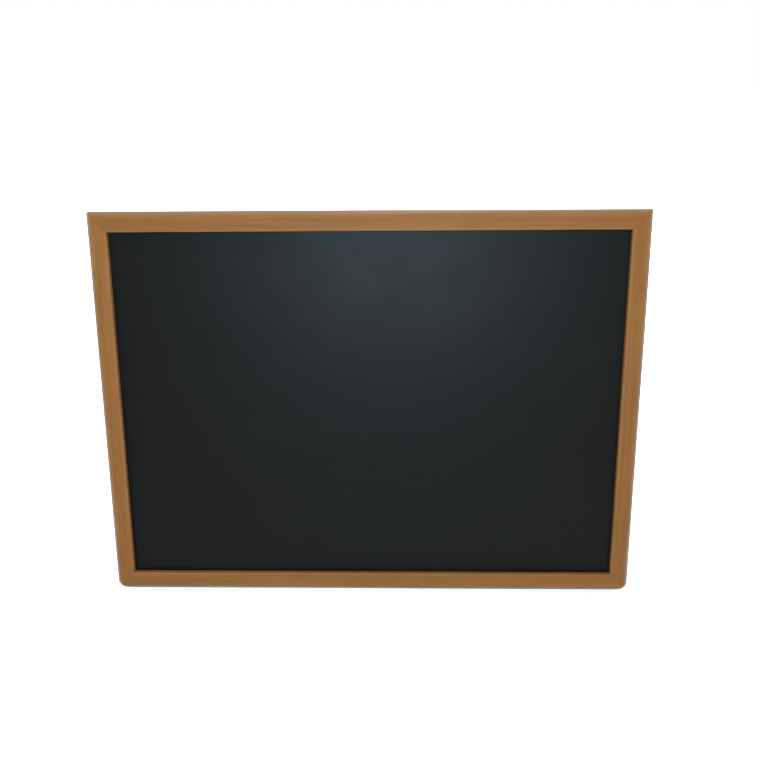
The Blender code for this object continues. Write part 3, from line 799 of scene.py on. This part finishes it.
def hinge(side, sign):
    x = sign * HINGE_OFFSET
    knuckle = HINGE_LENGTH / 3
    play = 0.0002
    end_middle = HINGE_LENGTH / 2 - knuckle / 2 + play / 2
    notches = {-1: [(0, knuckle + play)],
               1: [(-end_middle, knuckle + play), (end_middle, knuckle + play)]}
    face = KNUCKLE_RADIUS - LEAF_THICKNESS + SCREW_SINK
    board_place = at(BOARD, (x, HINGE_STANDOFF, HINGE_Z))
    leg_place = at(LEG, (x, 0, 0))
    board_leaf = f"hinge_{side}_board_leaf"
    leg_leaf = f"hinge_{side}_leg_leaf"
    for hand, hand_sign in SIDES.items():
        across = hand_sign * HINGE_SCREW_SPREAD
        place = at(board_place, (across, -face, -BOARD_LEAF_SCREW_DROP), FACING_BACK)
        wood_screw(f"hinge_{side}_board_screw_{hand}", 0.009, place, "board", "brass", BRASS,
                   spin(3 + sign + hand_sign), board_leaf, "top_rail")
        place = at(leg_place, (across, face, -LEG_LEAF_SCREW_DROP), FACING_FRONT)
        wood_screw(f"hinge_{side}_leg_screw_{hand}", 0.008, place, "rear_leg", "brass", BRASS,
                   spin(8 + sign + hand_sign), leg_leaf, "leg_top_crossbar")
    mesh = hinge_leaf(-1, BOARD_LEAF_WIDTH, notches[-1], HOLES[board_leaf], board_place)
    piece(f"{board_leaf}_brass", mesh, board_place, "board", "brass", BRASS, board_leaf)
    mesh = hinge_leaf(1, LEG_LEAF_WIDTH, notches[1], HOLES[leg_leaf], leg_place)
    piece(f"{leg_leaf}_brass", mesh, leg_place, "rear_leg", "brass", BRASS, leg_leaf)
    half, crown = HINGE_LENGTH / 2, 0.0003
    quarter = arc((0, 0), 1, pi / 2, 0, pi / 8)
    dome = [(PIN_RADIUS * a, half - crown + crown * b) for a, b in quarter]
    profile = dome + [(r, -z) for r, z in reversed(dome)]
    node = f"hinge_{side}_pin"
    pin_place = at(board_place, (0, 0, 0), (0, pi / 2, 0))
    piece(f"{node}_brass", turned(profile), pin_place, "board", "brass", BRASS, node)


# ---------------------------------------------------------------- stays
STAY_X = LEG_WIDTH / 2 + STAY_SPACER + 2 * GAP + STAY_THICKNESS / 2
BRACKET_THICKNESS = 0.0012
BRACKET_WIDTH = LAND_WIDTH - 2 * GAP
BRACKET_HEIGHT = 0.030
BRACKET_SCREW_SPREAD = 0.010
EAR_RADIUS = 0.005
EAR_SPREAD = 1.4                 # half width of the ear at its foot, in ear radii
BRACKET_X = HALF_WIDTH - GAP - BRACKET_WIDTH / 2
EAR_X = BRACKET_X - BRACKET_WIDTH / 2 + BRACKET_THICKNESS / 2
PEG_Y = HINGE_STANDOFF + LEG_MIDDLE
PEG_Z = HINGE_Z - STAY_PEG_DROP


def peg_reach(fold):
    """Distance from a stay's pivot to its peg, at a fold angle."""
    peg_y = LEG_MIDDLE * cos(fold) - STAY_PEG_DROP * sin(fold)
    peg_z = -LEG_MIDDLE * sin(fold) - STAY_PEG_DROP * cos(fold)
    return hypot(peg_y - LEG_MIDDLE, peg_z + STAY_PIVOT_DROP)


def stay_arm(side):
    closed, opened = peg_reach(0.0), peg_reach(FOLD_ANGLE)
    slot = capsule(STAY_SLOT_WIDTH / 2, GAP - closed, GAP - opened)
    outline = capsule(STAY_WIDTH / 2, 0, -opened - STAY_END_MARGIN)
    mesh = prism([outline, circle(NECK_HOLE_RADIUS), slot], STAY_THICKNESS, "YZ")
    mesh = soften(mesh, 0.0002, 2, 50)
    node = f"stay_{side}_arm"
    piece(f"{node}_brass", mesh, stay_place(side), f"{side}_stay", "brass", BRASS, node)


def stay_pivot(side, sign):
    head, height, face = 0.0035, 0.002, STAY_THICKNESS / 2 + 0.0002
    thread, point, turn = 0.009, 0.003, radians(25)
    sink = STAY_X - LEG_WIDTH / 2 + thread
    dome = [(head * a, face + height * b) for a, b in arc((0, 0), 1, pi / 2, 0)]
    profile = dome + [(NECK_RADIUS, face), (NECK_RADIUS, point - sink), (0, -sink)]
    place = at(LEG, (sign * STAY_X, LEG_MIDDLE, -STAY_PIVOT_DROP), side_turn(sign))
    slot = (box((0.009, 0.0007, 0.0018)), at(place, (0, 0, face + height)))
    mesh = carve(turned(profile), place, [slot])
    node = f"stay_{side}_pivot_screw"
    spun = place @ Matrix.Rotation(sign * turn, 4, "Z")
    piece(f"{node}_brass", mesh, spun, "rear_leg", "brass", BRASS, node)
    grown = NECK_HOLE_RADIUS
    hole = turned([(0, face), (grown, face), (grown, -sink), (0, -sink - GAP)], 32)
    HOLES.setdefault(f"leg_stile_{side}", []).append((hole, place))

    edge = 0.0004
    outer, inner, half = 0.0035, NECK_HOLE_RADIUS, STAY_SPACER / 2
    mesh = prism([circle(outer), circle(inner)], 2 * half, "YZ")
    mesh = soften(mesh, edge, 3, 50)
    node = f"stay_{side}_spacer"
    x = sign * (LEG_WIDTH / 2 + GAP + half)
    place = at(LEG, (x, LEG_MIDDLE, -STAY_PIVOT_DROP))
    piece(f"{node}_brass", mesh, place, "rear_leg", "brass", BRASS, node)


def bracket_mesh(sign, place):
    """An angle bracket bent from sheet: a base plate on the rail and an ear for the peg."""
    thick, bend = BRACKET_THICKNESS, 0.0004
    left, right = -BRACKET_WIDTH / 2, BRACKET_WIDTH / 2
    ear_top = PEG_Y + EAR_RADIUS - GAP
    outline = [(right, 0), (right, thick), (left + thick + bend, thick)]
    outline += arc((left + thick + bend, thick + bend), bend, 1.5 * pi, pi)
    outline += [(left + thick, ear_top), (left, ear_top)]
    outline += arc((left + thick + bend, thick + bend), thick + bend, pi, 1.5 * pi)
    outline = [(sign * a, b) for a, b in outline]
    mesh = prism([outline], BRACKET_HEIGHT, "XY")
    ear_y = PEG_Y - GAP
    foot = thick + 1.5 * bend    # clear of the bend, so no cut falls on its edge
    spread = EAR_SPREAD * EAR_RADIUS
    far = BRACKET_HEIGHT
    ear = [(foot, spread), *arc((ear_y, 0), EAR_RADIUS, pi / 2, -pi / 2), (foot, -spread)]
    outside = prism([[(foot, -far), (far, -far), (far, far), (foot, far), *ear]], 3 * thick, "YZ")
    mesh = carve(mesh, place, [(outside, at(place, (sign * (left + thick / 2), 0, 0)))])
    return soften(mesh, 0.00015, 2, 50)


def stay_bracket(side, sign):
    place = at(BOARD, (sign * BRACKET_X, GAP, PEG_Z))
    mesh = bracket_mesh(sign, place)
    node = f"stay_{side}_bracket"
    face = BRACKET_THICKNESS - SCREW_SINK
    for level, up in UPWARD.items():
        screw_place = at(place, (0, face, up * BRACKET_SCREW_SPREAD), FACING_BACK)
        wood_screw(f"{node}_screw_{level}", 0.009, screw_place, "board", "brass", BRASS,
                   spin(11 + sign + up), node, f"{side}_rail")
    peg_place = at(BOARD, (sign * STAY_X, PEG_Y, PEG_Z), side_turn(sign))
    ear_middle = EAR_X - STAY_X
    high, low = ear_middle + 0.002, ear_middle - 0.002
    hole = turned([(0, high), (NECK_HOLE_RADIUS, high), (NECK_HOLE_RADIUS, low), (0, low)], 32)
    mesh = carve(mesh, place, HOLES[node] + [(hole, peg_place)])
    piece(f"{node}_brass", mesh, place, "board", "brass", BRASS, node)

    inner = -(STAY_THICKNESS / 2 + GAP)
    head, collar, tail, edge = 0.0035, 0.003, 0.0024, 0.0003
    rivet, outer = 0.0009, inner - 0.0016
    collar_end = ear_middle - BRACKET_THICKNESS / 2
    tail_start = ear_middle + BRACKET_THICKNESS / 2
    profile = [(tail * a, tail_start + rivet * b) for a, b in arc((0, 0), 1, pi / 2, 0, pi / 12)]
    profile += [(NECK_RADIUS, tail_start), (NECK_RADIUS, collar_end)]
    profile += [(collar - edge, collar_end), (collar, collar_end - edge)]
    profile += [(collar, edge - inner), (collar - edge, -inner), (NECK_RADIUS, -inner)]
    profile += [(NECK_RADIUS, inner), (head - edge, inner), (head, inner - edge)]
    profile += [(head, outer + 2 * edge), (head - 2 * edge, outer), (0, outer)]
    node = f"stay_{side}_peg"
    piece(f"{node}_brass", turned(profile), peg_place, "board", "brass", BRASS, node)


# ---------------------------------------------------------------- assembly
corner_cuts()
point_cuts()
crossbar_screws()
for side, sign in SIDES.items():
    hinge(side, sign)
    stay_arm(side)
    stay_pivot(side, sign)
    stay_bracket(side, sign)
leg_wood()
make_rails()
sheet_piece("blackboard_sheet", "chalk_panel", "chalk_coating", BLACKBOARD, 0.0003)
sheet_piece("hardboard_sheet", "backing_board", "hardboard", HARDBOARD, 0.0002)
for name, node in frame["nodes"].items():
    if "nail" in name or "retaining_point" in name:
        node.data.materials.clear()
        node.data.materials.append(STEEL)


# ---------------------------------------------------------------- floor and light
def area_light(name, place, aim, size, power, colour=(1, 1, 1)):
    data = bpy.data.lights.new(name, "AREA")
    data.shape = "SQUARE"
    data.size = size
    data.energy = power
    data.color = colour
    light = bpy.data.objects.new(name, data)
    bpy.context.scene.collection.objects.link(light)
    light.location = place
    direction = Vector(aim) - Vector(place)
    light.rotation_euler = direction.to_track_quat("-Z", "Y").to_euler()


def make_stage():
    floor = show("floor", box((12, 12, 0.02)), Matrix.Translation((0, 0, -0.0101)))
    look = Shade("floor_paint")
    tone = look.noise(look.coords((3, 3, 3)), detail=3)
    look.set(Base_Color=look.mix(tone, (0.90, 0.90, 0.90), (0.93, 0.93, 0.93)), Roughness=0.9)
    floor.data.materials.append(look.material)
    world = bpy.data.worlds.new("studio")
    world.use_nodes = True
    background = world.node_tree.nodes["Background"]
    background.inputs["Color"].default_value = (1.0, 1.0, 1.0, 1.0)
    background.inputs["Strength"].default_value = 1.0
    bpy.context.scene.world = world
    area_light("key", (0.02, -0.66, 0.52), (0, -0.02, 0.20), 0.16, 11.5, (0.52, 0.80, 1.0))
    area_light("ceiling", (0.02, 0.05, 1.3), (0, 0, 0.30), 0.20, 1.5)
    for sign in SIDES.values():
        area_light("side", (1.6 * sign, 0.15, 0.7), (0, 0, 0.15), 0.8, 12.0, (0.60, 0.86, 1.0))
    area_light("rear", (0.6, 1.5, 0.9), (0, 0.05, 0.15), 0.9, 40.0, (0.60, 0.86, 1.0))
    sun = bpy.data.lights.new("sky_fill", "SUN")
    sun.energy = 1.0
    sun.angle = radians(40)
    fill = bpy.data.objects.new("sky_fill", sun)
    fill.rotation_euler = (radians(-12), 0, 0)
    bpy.context.scene.collection.objects.link(fill)


make_stage()
bpy.context.scene.view_settings.view_transform = "Standard"
